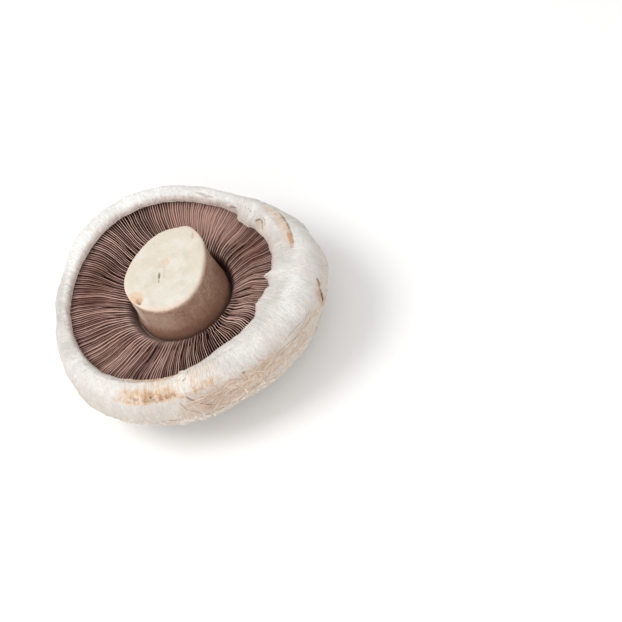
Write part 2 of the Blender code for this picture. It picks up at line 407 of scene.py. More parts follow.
def finishLook(tree, shader, masks, look, colour, rough):  # relief is a sum of masks, each with its height
    height = 0.0
    for name, high in look["relief"]:
        height = calc(tree, "MULTIPLY_ADD", masks[name], high, height)
    feedAll(tree, shader, {
        "Base Color": colour, "Normal": bumped(tree, height, *look["bump"]),
        "Roughness": ramp(tree, rough, 0, 1, *look["roughness"]), **look["surface"]})


print("shared node groups made")


# Cap

cap = {
    "radius": 0.050, "height": 0.038, "girthDepth": 0.0099, "restRadius": 0.012, "domeExponent": 2.38,
    "rimRadius": 0.0432, "lipRadius": 0.0396, "lipDepth": 0.0046, "lipThickness": 0.0010,
    "openingCentre": (-0.0024, 0.0024),
    "capLobes": ((1, -52, 0.014), (2, -37, 0.030), (3, -23, 0.040)),
    "openingLobes": ((2, 77, 0.006), (3, -41, 0.017)),
    "rimWaves": ((2, -57, 0.0020), (3, -30, 0.0008)),
    # torn edge, where the veil came away: (angle, reach over the gills)
    "tornEdge": (
        (-152, 0), (-140, 0.0007), (-132, 0.0010), (-122, 0.0006), (-112, 0.0003), (-105.2, 0.0004),
        (-104.4, 0.0013), (-102.5, 0.0012), (-101.8, 0.0007), (-96, 0.0011), (-88, 0.0017), (-83, 0.0020),
        (-76, 0.0018), (-70, 0.0011), (-66, 0.0005), (-59, 0.0001), (-57, -0.0006), (-54.5, 0.0002),
        (-52, 0.0009), (-50, 0.0015), (-48.2, 0.0023), (-46.5, 0.0020), (-45.5, 0.0023), (-43.5, 0.0015),
        (-39, 0.0010), (-38, 0.0002), (-36.5, -0.0004), (-34.5, 0.0004), (-32, 0.0009), (-30.6, 0.0022),
        (-29.6, 0.0031), (-29, 0.0024), (-28, 0.0015), (-26.3, 0.0005), (-24.5, 0), (-23.4, 0.0005),
        (-22.4, 0), (-18, 0.0001), (-14, -0.0002), (-11, 0.0001), (-3, 0), (4, 0.0004), (7, 0.0006),
        (10, 0.0008), (13, 0.0010), (14.6, 0.0014), (15.6, 0.0020), (23, 0.0022), (25.6, 0.0020),
        (26.4, 0.0018), (27.2, 0.0004), (31, 0.0001), (36, 0), (40, -0.0005), (43, 0), (60, 0)),
    "lipEdge": 0.0006,
    "lumpSize": 0.017, "lumpShare": 0.025, "waveFoot": 0.012, "seed": 11,
    # noise on the skin and on the lip's edge: (height, size, seed)
    "relief": ((0.00045, 0.010, 21), (0.00024, 0.0042, 22), (0.00012, 0.0017, 23)),
    "lipFray": ((0.00030, 0.0045, 3), (0.00022, 0.0016, 8), (0.00012, 0.0007, 9)),
    "fibreRelief": 0.00012, "fibreCount": 38, "fibreLength": 0.009,
    "scrapeRelief": 0.00016, "scrapeDepth": 0.00022, "ledgeDepth": 0.00028,
    "rubbedDepth": 0.00012, "bruiseDepth": 0.00022,
    # the rim rolls in to the gills round this angle, with its edge higher and further in
    "rollAngle": 122, "rollSpread": 102, "rollEase": 42, "rollRise": 0.0016, "rollReach": 0.0014,
    "rollCrest": 0.0450, "rollDrop": 0.0008,
    "columns": 760,
}
stem = {
    "centre": (0.0003, 0.0), "radius": 0.0175, "topRadius": 0.0166, "rise": 0.0080, "root": 0.016,
    "dish": 0.0006,  # how deep the cut is hollowed
    "topLobes": ((2, 52, 0.095), (3, 46, 0.036)),
    "corner": (44, 16, 0.0008),  # angle, spread and how far it stands out
    # noise on the cut face, the edge round it and the side: (height, size, seed)
    "cutRelief": ((0.00018, 0.006, 43), (0.00005, 0.0014, 44)), "edgeRelief": (0.00010, 0.0022, 45),
    "sideRelief": (0.0004, 0.009, 14),
    # fibres down the side: (height, how much finer, seed)
    "fibreRelief": ((0.00016, 1.0, 41), (0.00007, 2.2, 42)), "fibreCount": 22, "fibreLength": 0.008,
    "columns": 360,
}
gills = {
    "count": 264, "sunk": 0.0013, "bulge": 0.0010, "troughDepth": 0.0097, "seam": 0.0003, "groove": 0.0007,
    "sway": 0.0005, "baseWidth": 0.00034, "edgeWidth": 0.00029, "seed": 5,
    "lean": 0.0009, "leanAngle": 52, "leanSpread": 48, "leanNoise": 0.0004, "troughSink": 0.0004,
    "drift": 0.0006, "ripple": 0.00018, "sideNoise": 0.00010, "edgeNoise": 0.00012, "liftSpread": 0.00018,
    "innerDepth": 0.0026, "outerDepth": 0.0022, "bellyDepth": 0.0036, "bedThickness": 0.0010,
    "bedColumns": 240,
    # short blades start in a longer shoulder and end a little lower; all are rooted in the bed
    "shoulder": 0.0032, "shortShoulder": 0.0050, "shortDrop": 0.00025, "rooted": 0.0004,
}
gills["inner"] = stem["radius"] + gills["groove"]
gills["outer"] = cap["lipRadius"] + 0.0005
girthHeight = cap["height"] - cap["girthDepth"]
lipTop = cap["height"] - cap["lipDepth"]
lipUnderside = lipTop - cap["lipThickness"]
stemTop = cap["height"] + stem["rise"]

# Marks on the skin, with painted light and shade on parts of the rim. A band's level is its height on the
# wall, or its distance from the axis on the rim.
bandKeys = ("angle", "spread", "level", "reach", "softness")
wallBands = named(bandKeys, {
    "scrape": (-122, 19, 0.0342, 0.0026, 0.35),
    "scrapeCore": (-117, 11, 0.0342, 0.0021, 0.8),
    "scrapeLine": (-121, 19, 0.0337, 0.0013, 0.7),
    "scrapeFringe": (-114, 27, 0.0366, 0.0034, 0.9),
    "rubbed": (-98, 17, 0.0276, 0.0078, 0.7),
    "strands": (-78, 22, 0.0270, 0.0085, 0.9),
    "wallWash": (-44, 44, 0.0240, 0.0160, 1.0),
    "footWash": (-95, 52, 0.0190, 0.0110, 0.9),
    "ledge": (-108, 40, 0.0207, 0.0005, 0.9),
    "crackHalo": (-33.6, 4.8, 0.0285, 0.0072, 1.0),
    "flecks": (-97, 10, 0.0343, 0.0024, 0.7),
})
rimBands = named(bandKeys, {
    "bruise": (2, 19, 0.0444, 0.0023, 0.40),
    "bruiseFoot": (-10, 8, 0.0456, 0.0013, 0.7),
    "bruiseEdge": (1, 20, 0.0462, 0.00055, 0.8),
    "lipStain": (-95, 14, 0.0425, 0.0024, 0.9),
    # painted shade on the rim's inner slope at the near right
    "innerSlope": (-42, 76, 0.0425, 0.0056, 0.8),
    "hookStain": (12, 6, 0.0384, 0.0016, 0.8),
    # the next two bands are painted light on the far rim and on its inner slope
    "farRim": (82, 74, 0.0440, 0.0070, 0.5),
    "farSlope": (135, 42, 0.0410, 0.0032, 0.5),
    "leftRim": (168, 36, 0.0450, 0.0040, 0.6),
    "veilDots": (23, 6, 0.0392, 0.0019, 0.4),
})
# depth is how far a stroke is cut into the skin, share how strong its shade is
strokeKeys = ("start", "end", "width", "depth", "share", "shade")
strokes = named(strokeKeys, {
    "crease": ((-0.0120, -0.0421, 0.0368), (-0.0099, -0.0414, 0.0373), 0.0006, 0.0002, 0.50, "umber"),
    "creaseEnd": ((-0.0100, -0.0414, 0.0373), (-0.0079, -0.0392, 0.0365), 0.0006, 0.0002, 0.75, "brown"),
    "creaseTail": ((-0.0076, -0.0392, 0.0367), (0.0106, -0.0412, 0.0391), 0.0005, 0.00025, 0.12, "umber"),
    "crackTop": ((0.0462, -0.0270, 0.0340), (0.0457, -0.0292, 0.0304), 0.0008, 0.0003, 0.75, "umber"),
    "crackMiddle": ((0.0457, -0.0292, 0.0310), (0.0453, -0.0287, 0.0268), 0.0009, 0.0003, 0.80, "umber"),
    "crackFoot": ((0.0453, -0.0287, 0.0274), (0.0441, -0.0285, 0.0216), 0.0012, 0.0004, 0.90, "brown"),
    "topMark": ((0.0215, 0.0356, 0.0364), (0.0268, 0.0298, 0.0349), 0.0005, 0.0003, 0.32, "brown"),
    "ridgeMark": ((0.0304, 0.0244, 0.0330), (0.0328, 0.0214, 0.0336), 0.0008, -0.0004, 0.55, "umber"),
    "hookTop": ((0.0367, 0.0106, 0.0341), (0.0385, 0.0092, 0.0350), 0.0005, 0.0003, 0.45, "umber"),
    "hookBack": ((0.0385, 0.0092, 0.0350), (0.0388, 0.0064, 0.0351), 0.0005, 0.0003, 0.45, "umber"),
    "hookFoot": ((0.0388, 0.0064, 0.0351), (0.0373, 0.0056, 0.0340), 0.0005, 0.0003, 0.45, "umber"),
    "rubLine": ((-0.0132, -0.0453, 0.0326), (-0.0112, -0.0468, 0.0297), 0.0006, 0.00015, 0.60, "brown"),
    "rubLineEnd": ((-0.0104, -0.0470, 0.0287), (-0.0066, -0.0478, 0.0246), 0.0006, 0.00015, 0.60, "umber"),
    "rubCurve": ((-0.0165, -0.0444, 0.0322), (-0.0150, -0.0463, 0.0262), 0.0005, 0.00015, 0.40, "umber"),
    "rubCurveEnd": ((-0.0150, -0.0463, 0.0262), (-0.0112, -0.0474, 0.0226), 0.0005, 0.00015, 0.35, "umber"),
    "lipFold": ((-0.0098, -0.0414, 0.0372), (0.0082, -0.0424, 0.0390), 0.0013, -0.0003, 0.0, "umber"),
    "lipFoldEnd": ((0.0050, -0.0402, 0.0386), (0.0180, -0.0372, 0.0396), 0.0011, -0.0003, 0.0, "umber"),
    "speckA": ((-0.0247, -0.0394, 0.0347), (-0.0243, -0.0398, 0.0341), 0.0006, 0.0, 0.95, "brown"),
    "speckB": ((0.0077, -0.0474, 0.0321), (0.0089, -0.0471, 0.0317), 0.0007, 0.0, 0.70, "umber"),
})


def rimWave(angle):
    return sum(rise * np.cos(n * (angle - math.radians(crest))) for n, crest, rise in cap["rimWaves"])


def rollShare(angle):
    away = np.abs(turnFrom(angle, cap["rollAngle"]))
    return smoothStep((cap["rollSpread"] - away) / cap["rollEase"])


def rimRise(angle, outline):  # how much the rim's waves and its roll lift a place, from the stem (0) out
    rolled = cap["rollRise"] * rollShare(angle) * np.clip(2 - outline, 0, 1)
    return smoothStep(outline) * (rimWave(angle) + rolled)


def capPlan(radius, angle, outline):  # outline 0 is round the stem, 1 follows the opening, 2 the outside
    across, along = np.cos(angle), np.sin(angle)
    outline = outline + 0 * angle
    stemX, stemY = radius * across + stem["centre"][0], radius * along + stem["centre"][1]
    opening = radius * lobed(angle, cap["openingLobes"])
    openX, openY = opening * across + cap["openingCentre"][0], opening * along + cap["openingCentre"][1]
    outside = radius * lobed(angle, cap["capLobes"])
    near, far = np.clip(outline, 0, 1), np.clip(outline - 1, 0, 1)
    x = mix(mix(stemX, openX, near), outside * across, far)
    y = mix(mix(stemY, openY, near), outside * along, far)
    return x, y


def gillTop(share):  # height of the gill edges, from the stem (0) to the lip (1)
    height = mix(cap["height"] - gills["troughDepth"], lipUnderside - 2 * gills["seam"], share**0.6)
    return height + gills["bulge"] * np.sin(np.pi * share)


def grooveDepth(share):
    share = np.clip(share, 0, 1)
    sink = gills["troughSink"] * (1 - share) ** 4  # the bed lies lower in the trough round the stem
    ends = mix(gills["innerDepth"], gills["outerDepth"], share)
    return ends + gills["bellyDepth"] * np.sin(np.pi * share) ** 0.7 + sink


def capProfile(rolled):
    # rows of (radius, height, outline, lip, skin): lip 1 follows the torn edge, skin 1 takes relief
    crest = cap["rollCrest"] if rolled else cap["rimRadius"]
    top = cap["height"] - (cap["rollDrop"] if rolled else 0)
    socket = stem["radius"] + gills["seam"]
    floor = stem["root"] - gills["seam"]
    rows = [(socket, floor, 0, 0, 0)]
    wall = gills["outer"] + gills["seam"]
    for share in np.linspace(0, 1, 7):
        bed = gillTop(share) - grooveDepth(share) - gills["sunk"] - gills["seam"]
        rows.append((mix(socket, wall, share), bed, share, 0, 0))
    rows.append((wall, lipUnderside - 0.0006, 1, 0, 0))
    half = cap["lipEdge"] / 2
    for turn in np.linspace(-90, 90, 9):  # round edge of the lip
        swing = math.radians(turn)
        rows.append((cap["lipRadius"] + half * (1 - math.cos(swing)),
                     lipTop - half * (1 - math.sin(swing)), 1, 1, 0.3))
    bend = ((0, 0), (0.25, 0.55), (0.6, 0.88), (1, 1))
    slope = smoothRun([(0, -0.33), *bend, (1.9, 0.72)], 7)[1:]
    for index, (across, up) in enumerate(slope):
        if rolled:
            swing = math.pi / 2 * (index + 1) / (len(slope) + 1)
            across, up = 1 - math.cos(swing), math.sin(swing)
        rows.append((mix(cap["lipRadius"], crest, across),
                     mix(lipTop, top, up), 1 + across, 1, min(1, 0.3 + index / 10)))
    for turn in np.linspace(0, 90, 30):
        swing = math.radians(turn)
        rows.append((mix(crest, cap["radius"], math.sin(swing)),
                     girthHeight + (top - girthHeight) * math.cos(swing), 2, 1, 1))
    spot = (1 - (cap["restRadius"] / cap["radius"]) ** cap["domeExponent"]) ** (1 / cap["domeExponent"])
    power = 2 / cap["domeExponent"]
    for turn in np.linspace(0, 69, 46)[1:]:
        swing = math.radians(turn)
        rows.append((cap["radius"] * math.cos(swing) ** power,
                     girthHeight * (1 - math.sin(swing) ** power / spot), 2, 1, 1))
    ends = rows[-1]
    for share in (0.35, 0.7, 1.0):
        rows.append((mix(ends[0], cap["restRadius"], share), mix(ends[1], 0.0, share**0.6), 2, 1, 1 - share))
    rows.append((cap["restRadius"] * 0.5, 0.0, 2, 1, 0))
    return np.array(rows)[:, :, None]


def lipReach(angle):
    turns, reaches = zip(*cap["tornEdge"])
    reach = np.interp(np.degrees(angle), turns, reaches, left=0, right=0)
    return reach + grains(around(angle, 0.04, 0), cap["lipFray"])


def capRelief(points, angle, outline):
    # height of the skin's relief along the normal
    radius = np.hypot(points[..., 0], points[..., 1])
    height = points[..., 2]
    relief = grains(points, cap["relief"])
    # fibres run out over the rim and down the wall
    spun = around(angle, cap["fibreCount"], (radius - height) / cap["fibreLength"])
    relief += cap["fibreRelief"] * grain(spun, 1.0, 24) * smoothStep((outline - 1.1) / 0.6)
    torn = bandNear(angle, height, wallBands["scrape"])
    relief -= cap["ledgeDepth"] * bandNear(angle, height, wallBands["ledge"])
    relief -= torn * (cap["scrapeDepth"] + cap["scrapeRelief"] * grain(spun * 1.6, 1.0, 25))
    relief -= cap["rubbedDepth"] * bandNear(angle, height, wallBands["rubbed"])
    relief -= cap["bruiseDepth"] * bandNear(angle, radius, rimBands["bruise"])
    for spec in strokes.values():
        relief -= spec["depth"] * strokeNear(points, spec)
    return relief


def buildCap(material):
    angle = turnsRound(cap["columns"])
    profile = mix(capProfile(False), capProfile(True), rollShare(angle)[None])
    radius, height, outline, lip, skin = np.moveaxis(profile, 1, 0)
    x, y = capPlan(radius, angle, outline)
    reach = lip * lipReach(angle) * smoothStep((1.55 - outline) / 0.55)
    reach = reach + lip * cap["rollReach"] * rollShare(angle) * np.clip(2 - outline, 0, 1)
    x, y = x - np.cos(angle) * reach, y - np.sin(angle) * reach
    height = height + 0 * angle
    grown = 1 + (cap["lumpShare"] * grain(xyz(x, y, height), cap["lumpSize"], cap["seed"])
                 * np.clip((outline - 1.6) / 0.4, 0, 1) * (height > 0))
    outer = (outline >= 2) & (height <= cap["height"])
    wave = smoothStep((height - cap["waveFoot"]) / (cap["height"] - cap["waveFoot"])) * rimWave(angle)
    grid = xyz(x * grown, y * grown, height + np.where(outer, wave, rimRise(angle, outline)))
    normals = gridNormals(grid)
    grid = grid + normals * (capRelief(grid, angle + 0 * outline, outline) * skin)[..., None]
    grid[..., 2] = np.where(height > 0, np.maximum(grid[..., 2], 0.0002), 0.0)
    obj = turnedObject("capFlesh", grid, profile[0, 1, 0], 0.0, material)
    inside = 0.6 * np.clip((1.40 - outline) / 0.40, 0, 1) * (lip > 0) + (lip == 0)
    setMark(obj, "inside", np.append(inside, (1, 0)))
    return obj


capLook = {
    "shades": {
        "bright": (0.93, 0.92, 0.895), "white": (0.85, 0.835, 0.80), "rose": (0.82, 0.76, 0.73),
        "grey": (0.76, 0.765, 0.735), "dull": (0.66, 0.635, 0.60), "cream": (0.80, 0.72, 0.61),
        "peach": (0.80, 0.58, 0.40), "tan": (0.58, 0.36, 0.20), "pinkTan": (0.62, 0.41, 0.30),
        "orange": (0.50, 0.24, 0.085), "brown": (0.17, 0.08, 0.04), "umber": (0.27, 0.125, 0.055),
        "wash": (0.64, 0.50, 0.41), "flesh": (0.66, 0.50, 0.42), "bed": (0.26, 0.14, 0.10)},
    "clouds": {
        "rosy": (0.013, 0.42, 0.66, 1.0), "greyish": (0.009, 0.5, 0.75, 7.0),
        "rosyFine": (0.0024, 0.5, 0.72, 8.0), "haze": (0.005, 0.35, 0.65, 15.0),
        "creamy": (0.006, 0.3, 0.62, 3.0), "washed": (0.010, 0.32, 0.66, 12.0),
        "footWashed": (0.006, 0.36, 0.62, 13.0), "nap": (0.0012, 0.40, 0.62, 17.0),
        "blots": (0.0028, 0.40, 0.62, 5.0), "torn": (0.0016, 0.46, 0.60, 16.0),
        "worn": (0.005, 0.34, 0.62, 9.0), "felt": (0.0014, 0.25, 0.75, 2.0)},
    # threads and wisps run out over the rim and down the wall, the last set goes round it
    "fibres": {"thread": (460.0, 0.007, 0.006, 0.0), "wisp": (230.0, 0.009, 0.012, 4.0),
               "down": (560.0, 0.010, 0.003, 3.0), "across": (60.0, 0.006, 0.020, 5.0)},
    "layers": (
        # the dull on the wall and the cream low down darken the wall towards its foot: painted shade, with
        # some cream of the skin's own
        ("rose", "rosy"), ("grey", "greyish", 0.6), ("rose", "rosyFine", 0.30), ("dull", "wall", 0.55),
        # the bright over the far rim and its inner slope is painted light; the dull on the rim's inner slope
        # at the near right is painted shade
        ("bright", "farRim", 0.9), ("bright", "farSlope", 0.9), ("dull", "leftRim", 0.9),
        ("dull", "innerSlope", ("haze", 0.50, 0.90)), ("cream", "low", "creamy", 0.45),
        ("wash", "wallWash", ("washed", 0.22, 0.50)), ("wash", "footWash", ("footWashed", 0.30, 0.85)),
        ("wash", "wispStreak", ("wall", 0.08, 0.30)), ("tan", "threadLine", ("low", 0.05, 0.16)),
        ("wash", "wall", "downFine", 0.22), ("dull", "nap", ("wall", 0.02, 0.28)),
        # worn and bruised patches
        ("peach", "scrapeFringe", "downStreak", 0.72), ("peach", "scrape", ("downStreak", 0.30, 0.85)),
        ("tan", "scrape", "blots", ("downFine", 0.30, 0.90)),
        ("orange", "scrapeCore", "blots", ("downStreak", 0.20, 0.85)),
        ("umber", "scrapeLine", "torn", 0.55),
        ("pinkTan", "rubbed", ("blotNap", 0.42, 0.95)), ("orange", "rubbed", "downLine", 0.40),
        ("peach", "flecks", ("downStreak", 0.10, 0.75)), ("orange", "flecks", "nap", "downFine", 0.85),
        ("pinkTan", "strands", ("worn", 0.15, 0.50)), ("orange", "strands", "acrossLine", 0.60),
        ("peach", "bruise", ("blots", 0.30, 0.55)), ("tan", "bruise", "blots", "nap", 0.55),
        ("orange", "bruiseFoot", 0.75), ("brown", "bruiseEdge", ("blots", 0.35, 0.75)),
        ("peach", "lipStain", ("downStreak", 0.10, 0.40)), ("orange", "crackHalo", ("nap", 0.30, 0.80)),
        ("tan", "hookStain", 0.40), ("brown", "ledge", 0.38),
        # under the lip, a flesh tint that is partly painted shade, then dark dots
        ("flesh", "inside", 0.8), ("bed", "deepInside"),
        ("brown", "dots", "low", 0.5), ("brown", "veilDots", "pricks", 0.60)),
    "relief": (("felt", 0.55), ("threadFine", 0.30), ("threadStreak", 0.55), ("wispLine", -0.30),
               ("wallNap", 0.45)),
    "bump": (0.85, 0.00042), "roughness": (0.56, 0.72), "wander": 0.0014,
    "surface": {"Specular IOR Level": 0.30, "Subsurface Weight": 0.14,
                "Subsurface Radius": (1.0, 0.72, 0.5), "Subsurface Scale": 0.0014},
}


def capMaterial():
    material, tree, shader = newMaterial("capSkin")
    shades = capLook["shades"]
    at = place(tree, where)
    outward = calc(tree, "SUBTRACT", at["Radius"], at["Height"])
    along = {"thread": outward, "wisp": outward, "down": at["Height"],
             "across": times(tree, at["Turn"], 0.0009)}
    masks = {**cloudMasks(tree, capLook["clouds"]), **fibreMasks(tree, capLook["fibres"], along),
             **bandMasks(tree, wallBands, at, "Height"), **bandMasks(tree, rimBands, at, "Radius")}
    masks["low"] = ramp(tree, at["Height"], 0.036, 0.014)
    masks["wall"] = ramp(tree, at["Height"], 0.0385, 0.0300)
    masks["inside"] = mark(tree, "inside")
    masks["deepInside"] = ramp(tree, masks["inside"], 0.8, 1.0)
    masks["dots"] = place(tree, speck, size=0.0042, share=0.30, spot=0.10)["Mask"]
    masks["pricks"] = place(tree, speck, size=0.0011, share=0.75, spot=0.30)["Mask"]
    masks["blotNap"] = times(tree, masks["blots"], masks["nap"])
    masks["wallNap"] = times(tree, masks["nap"], masks["wall"])
    colour = paint(tree, shades, masks, shades["white"], capLook["layers"])
    colour = drawn(tree, shades, colour, strokes.values(), capLook["wander"])
    finishLook(tree, shader, masks, capLook, colour, masks["felt"])
    return material


capFlesh = buildCap(capMaterial())
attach(capFlesh, "root")
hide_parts("cap")
print("cap:", len(capFlesh.data.polygons), "faces")


# Loose fibres and flakes of the skin

# A kind's slant is 0 down the wall and 90 round it; lift is how far its free end stands off the skin.
# Its patches are (angle, spread, lowest and highest place, how many).
looseSkin = {
    "skinFibres": {
        "length": (0.0026, 0.0075), "width": (0.00022, 0.00042), "thickness": 0.00013, "lift": 0.00012,
        "slant": 14, "swing": 22, "curl": 30, "stations": 9, "seed": 17, "tone": (0.20, 0.70),
        "patches": ((0, 180, 0.008, 0.033, 420), (-95, 50, 0.012, 0.026, 110)),
    },
    "wallStrands": {
        "length": (0.0045, 0.0120), "width": (0.00024, 0.00042), "thickness": 0.00018, "lift": 0.00022,
        "slant": 80, "swing": 16, "curl": 34, "stations": 11, "seed": 29, "tone": (0.45, 1.0),
        "patches": ((-80, 17, 0.020, 0.033, 84), (-46, 22, 0.018, 0.034, 34)),
    },
    "skinFlakes": {
        "length": (0.0012, 0.0032), "width": (0.0005, 0.0013), "thickness": 0.00013, "lift": 0.00040,
        "slant": 20, "swing": 60, "curl": 40, "stations": 6, "seed": 41, "tone": (0.20, 0.50),
        "patches": ((0, 180, 0.006, 0.027, 70), (-107, 36, 0.013, 0.020, 60)),
    },
}
bareSkin = ("scrape", "crackHalo")  # places that strands leave bare
startRadius = 0.058  # outside the cap; a strand starts at the nearest place on the skin
# the curled scrap of the veil on the lip
veil = {
    # places along its middle
    "hook": ((0.0367, 0.0106, 0.0338), (0.0371, 0.0102, 0.0349), (0.0384, 0.0092, 0.0356),
             (0.0392, 0.0077, 0.0357), (0.0389, 0.0063, 0.0353), (0.0381, 0.0057, 0.0346),
             (0.0372, 0.0058, 0.0338)),
    "width": 0.0012, "thickness": 0.00040, "tone": 0.25,
}


def capTree():
    mesh = capFlesh.data
    points = [vertex.co for vertex in mesh.vertices]
    return BVHTree.FromPolygons(points, [tuple(face.vertices) for face in mesh.polygons])


def strandPath(skin, start, slant, curl, length, stations):
    # (place, normal, direction) of each station of a strand that keeps to the skin
    place, normal = start
    path = []
    step = length / (stations - 1)
    for station in range(stations):
        out = Vector((place.x, place.y, 0)).normalized()
        down = out - Vector((0, 0, 1.4))
        down = (down - normal * down.dot(normal)).normalized()
        side = normal.cross(down)
        turn = math.radians(slant + curl * station / stations)
        heading = down * math.cos(turn) + side * math.sin(turn)
        path.append((place.copy(), normal.copy(), heading))
        place, normal = skin.find_nearest(place + heading * step)[:2]
    return path


def ribbonRings(path, width, thickness, lift, narrow):
    # four points at each station: left, top, right, underside
    last = len(path) - 1
    rings = []
    for index, (place, normal, heading) in enumerate(path):
        share = index / last
        taper = max(math.sin(math.pi * min(1, share * 0.86 + 0.10)) ** narrow, 0.12)
        centre = place + normal * (lift * share**3 + 0.25 * thickness)
        side = normal.cross(heading) * (0.5 * width * taper)
        rings.append([centre - side, centre + normal * thickness * taper,
                      centre + side, centre - normal * 0.7 * thickness])
    return rings


def ribbonObject(name, ribbons, tones, material):
    points, faces, marks = [], [], []
    for rings, tone in zip(ribbons, tones):
        first = len(points)
        for ring in rings:
            points += [tuple(point) for point in ring]
        for row in range(len(rings) - 1):
            for corner in range(4):
                following = (corner + 1) % 4
                a, b = first + 4 * row, first + 4 * (row + 1)
                faces.append((a + corner, a + following, b + following, b + corner))
        end = first + 4 * (len(rings) - 1)
        faces += [(first + 3, first + 2, first + 1, first), (end, end + 1, end + 2, end + 3)]
        marks += [tone] * (4 * len(rings))
    obj = meshObject(name, np.array(points), faces, material, 70)
    setMark(obj, "tone", np.array(marks))
    return obj


def looseMaterial():
    material, tree, shader = newMaterial("looseSkin")
    shades = {"brown": (0.56, 0.38, 0.25), "dull": (0.78, 0.69, 0.59)}
    masks = {"tone": mark(tree, "tone"), **cloudMasks(tree, {"felt": (0.0012, 0.3, 0.7, 6.0)})}
    colour = paint(tree, shades, masks, (0.84, 0.81, 0.76), (("brown", "tone"), ("dull", "felt", 0.30)))
    feedAll(tree, shader, {"Base Color": colour, "Roughness": ramp(tree, masks["felt"], 0, 1, 0.6, 0.78),
                           "Specular IOR Level": 0.25})
    return material


def veilRibbon():
    curl = [Vector(point) for point in smoothRun([veil["hook"][0], *veil["hook"], veil["hook"][-1]], 4)]
    middle = sum(curl, Vector()) / len(curl)
    path = [(here, (here - middle).normalized(), (there - here).normalized())
            for here, there in zip(curl, curl[1:])]
    return ribbonRings(path, veil["width"], veil["thickness"], 0.0, 0.5)


def looseRibbons(skin, kind):
    draw = random.Random(kind["seed"])
    ribbons, tones = [], []
    for middle, width, low, high, count in kind["patches"]:
        for _ in range(count):
            turn = math.radians(draw.uniform(middle - width, middle + width))
            level = draw.uniform(low, high)
            outside = Vector((startRadius * math.cos(turn), startRadius * math.sin(turn), level))
            hit = skin.find_nearest(outside)
            slant = draw.choice((-1, 1)) * kind["slant"] + draw.gauss(0, kind["swing"])
            path = strandPath(skin, hit[:2], slant, draw.gauss(0, kind["curl"]),
                              draw.uniform(*kind["length"]), kind["stations"])
            rings = ribbonRings(path, draw.uniform(*kind["width"]), kind["thickness"],
                                kind["lift"] * draw.random(), 0.7)
            tone = draw.uniform(*kind["tone"])
            onBare = [bandNear(math.atan2(spot.y, spot.x), spot.z, wallBands[name])
                      for name in bareSkin for spot, _, _ in path]
            if max(onBare) < 0.2:
                ribbons.append(rings)
                tones.append(tone)
    return ribbons, tones


skinTree = capTree()
looseLook = looseMaterial()
looseSets = {name: looseRibbons(skinTree, kind) for name, kind in looseSkin.items()}
looseSets["veilScrap"] = [veilRibbon()], [veil["tone"]]
for name, (ribbons, tones) in looseSets.items():
    piece = ribbonObject(name, ribbons, tones, looseLook)
    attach(piece, "root")
    print(name + ":", len(ribbons), "pieces,", len(piece.data.polygons), "faces")


# Gills

def gillPlan():
    # (angle, start share, side it bends to, tone, edge height) of every blade, evenly set and a bit uneven
    draw = random.Random(gills["seed"])
    pitch = math.tau / gills["count"]
    plan = []
    for index in range(gills["count"]):
        angle = pitch * (index + draw.uniform(-0.12, 0.12))
        if index % 4 == 3:
            start = draw.uniform(0.16, 0.42)
        elif index % 4 == 1:
            start = draw.uniform(0.04, 0.16)
        else:
            start = 0.0
        plan.append((angle, start, draw.choice((-1, 1)), draw.random(), draw.uniform(-1, 1)))
    return plan


def gillWarp(angle, share):  # sideways wave that neighbouring blades share, in metres
    ease = np.sin(np.pi * share)
    wave = np.sin(3 * angle + 5 * share) + 0.6 * np.sin(7 * angle - 4 * share)
    spot, ripple = around(angle, 3.2, 2.6 * share), around(angle, 9, 7 * share)
    return (gills["sway"] * ease * wave + gills["drift"] * ease * grain(spot, 1.0, 31)
            + gills["ripple"] * grain(ripple, 1.0, 32))


def gillLean(angle, share):  # how far the edge of a blade lies over to one side of its root
    spot = around(angle, 1.6, 1.5 * share)
    main = gills["lean"] * tongue(angle, gills["leanAngle"], gills["leanSpread"])
    ease = np.sin(np.pi * np.clip(share, 0.05, 0.95)) ** 0.5
    return (main + gills["leanNoise"] * grain(spot, 1.0, 33)) * ease


